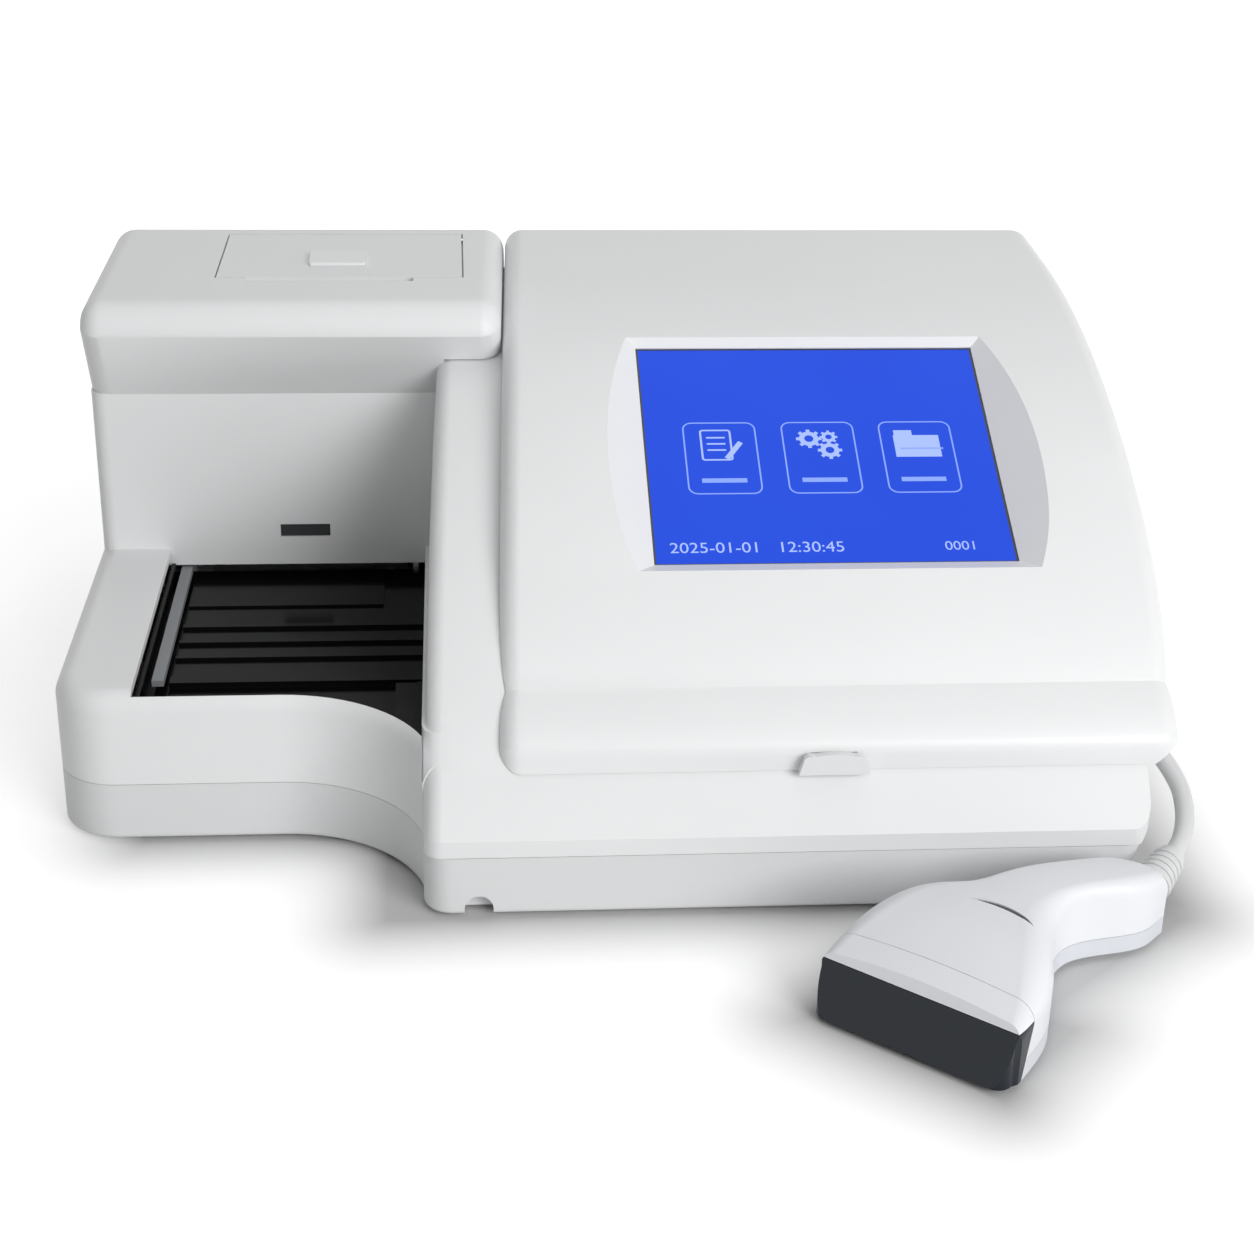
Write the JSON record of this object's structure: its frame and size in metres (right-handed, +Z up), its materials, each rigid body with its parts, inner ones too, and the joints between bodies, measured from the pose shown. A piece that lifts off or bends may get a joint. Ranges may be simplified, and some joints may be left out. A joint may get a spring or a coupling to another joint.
{
  "type": "urine test strip analyzer",
  "caption": "Desk-top urine strip analyzer with a hinged cover and touch display, strip tray, tower with thermal printer, and a corded hand-held barcode reader.",
  "frame": {"origin": "middle of the footprint of the analyzer and its reader, on the table", "axes": "+X to the right seen from the front, +Y to the rear, +Z up"},
  "size_m": [0.3748, 0.4847, 0.1543],
  "materials": {
    "shell_white": "satin",
    "tray_black": "high gloss",
    "part_grey": "satin",
    "dark_plastic": "satin",
    "steel": "brushed",
    "frame_metal": "satin",
    "glass_front": "clear",
    "display": "gloss",
    "rubber_dark": "matt",
    "paper": "matt",
    "board": "gloss",
    "reader_grey": "satin",
    "reader_dark": "gloss",
    "cord_grey": "satin"
  },
  "bodies": {
    "case": {"lower_case": "shell_white", "case_screws": "steel", "rubber_feet": "rubber_dark", "upper_case": "shell_white", "strip_tray": "tray_black", "pusher_frame": "frame_metal", "pusher_rod": "steel", "pusher_belt": "rubber_dark", "strip_platform": "part_grey", "read_frame": "frame_metal", "read_rods": "steel", "read_belt": "rubber_dark", "drawer_cradle": "part_grey", "drive_motors": "dark_plastic", "cover_hinge_pins": "steel", "printer_housing": "shell_white", "lid_hinge_pin": "steel", "print_head": "dark_plastic", "paper_spindle": "part_grey", "sensor_window": "dark_plastic", "main_board": "board", "power_supply": "frame_metal", "power_inlet": "dark_plastic", "switch_body": "dark_plastic", "serial_port": "steel", "usb_port": "dark_plastic", "reader_plug": "dark_plastic", "reader_cord_run": "cord_grey", "reader_cord_coil": "cord_grey", "reader_cord_tail": "cord_grey"},
    "cover": {"cover": "shell_white", "badge": "steel", "touch_glass": "glass_front", "display_panel": "display", "screen_bracket": "frame_metal", "latch_spring": "steel"},
    "latch": {"latch_button": "shell_white"},
    "printer_lid": {"printer_lid": "shell_white"},
    "lid_tab": {"lid_tab": "shell_white"},
    "platen": {"platen_roller": "rubber_dark"},
    "paper": {"paper_roll": "paper"},
    "strip_pusher": {"strip_pusher": "part_grey"},
    "pusher_pulley_left": {"pusher_pulley_left": "part_grey"},
    "pusher_pulley_right": {"pusher_pulley_right": "part_grey"},
    "reading_head": {"reading_head": "part_grey", "reading_window": "dark_plastic"},
    "read_pulley_front": {"read_pulley_front": "part_grey"},
    "read_pulley_rear": {"read_pulley_rear": "part_grey"},
    "waste_drawer": {"waste_drawer": "part_grey"},
    "power_rocker": {"switch_rocker": "dark_plastic"},
    "reader": {"reader_upper_shell": "reader_grey", "reader_lower_shell": "reader_grey", "reader_cap": "reader_grey", "reader_bezel": "reader_dark", "reader_lens": "reader_dark", "reader_engine": "board", "reader_pads": "rubber_dark", "reader_boot": "cord_grey"},
    "trigger": {"reader_trigger": "reader_grey"}
  },
  "joints": [
    {"name": "cover_hinge", "type": "hinge", "parent": "case", "child": "cover", "pos_m": [0.017, 0.18169, 0.115], "axis": [-1, 0, 0], "range_deg": [0, 65]},
    {"name": "latch_press", "type": "slide", "parent": "cover", "child": "latch", "axis": [0, 1, 0], "range_m": [0, 0.0015], "stiffness_N_per_m": 300, "springref_m": -0.001},
    {"name": "printer_lid_hinge", "type": "hinge", "parent": "case", "child": "printer_lid", "pos_m": [-0.093, 0.16169, 0.151], "axis": [-1, 0, 0], "range_deg": [0, 85]},
    {"name": "lid_tab_slide", "type": "slide", "parent": "printer_lid", "child": "lid_tab", "axis": [0, 1, 0], "range_m": [0, 0.0025], "stiffness_N_per_m": 200, "springref_m": -0.001},
    {"name": "platen_spin", "type": "hinge", "parent": "printer_lid", "child": "platen", "pos_m": [-0.093, 0.11319, 0.1455], "axis": [1, 0, 0], "continuous": true},
    {"name": "paper_spin", "type": "hinge", "parent": "case", "child": "paper", "pos_m": [-0.093, 0.13769, 0.1342], "axis": [1, 0, 0], "continuous": true},
    {"name": "pusher_slide", "type": "slide", "parent": "case", "child": "strip_pusher", "axis": [1, 0, 0], "range_m": [0, 0.074]},
    {"name": "pusher_pulley_left_spin", "type": "hinge", "parent": "case", "child": "pusher_pulley_left", "pos_m": [-0.162, 0.11049, 0.033], "axis": [0, 1, 0], "range_deg": [0, 633]},
    {"name": "pusher_pulley_right_spin", "type": "hinge", "parent": "case", "child": "pusher_pulley_right", "pos_m": [-0.075, 0.11049, 0.033], "axis": [0, 1, 0], "range_deg": [0, 633]},
    {"name": "reading_head_slide", "type": "slide", "parent": "case", "child": "reading_head", "axis": [0, -1, 0], "range_m": [0, 0.09]},
    {"name": "read_pulley_front_spin", "type": "hinge", "parent": "case", "child": "read_pulley_front", "pos_m": [0.067, -0.02831, 0.063], "axis": [1, 0, 0], "range_deg": [0, 770]},
    {"name": "read_pulley_rear_spin", "type": "hinge", "parent": "case", "child": "read_pulley_rear", "pos_m": [0.067, 0.11569, 0.063], "axis": [1, 0, 0], "range_deg": [0, 770]},
    {"name": "waste_drawer_slide", "type": "slide", "parent": "case", "child": "waste_drawer", "axis": [1, 0, 0], "range_m": [0, 0.048]},
    {"name": "power_rocker_tip", "type": "hinge", "parent": "case", "child": "power_rocker", "pos_m": [0.0926, 0.18519, 0.038], "axis": [0, 0, 1], "range_deg": [-8, 8]},
    {"name": "reader_lift", "type": "slide", "parent": "case", "child": "reader", "axis": [0, 0, 1], "range_m": [0, 0.1]},
    {"name": "trigger_press", "type": "slide", "parent": "reader", "child": "trigger", "axis": [0, 0, 1], "range_m": [0, 0.0013], "stiffness_N_per_m": 300, "springref_m": -0.0015}
  ],
  "couplings": [
    {"joint": "pusher_pulley_left_spin", "follows": "pusher_slide", "rad_per_m": 149.25},
    {"joint": "pusher_pulley_right_spin", "follows": "pusher_slide", "rad_per_m": 149.25},
    {"joint": "read_pulley_rear_spin", "follows": "reading_head_slide", "rad_per_m": 149.25},
    {"joint": "read_pulley_front_spin", "follows": "reading_head_slide", "rad_per_m": 149.25}
  ]
}
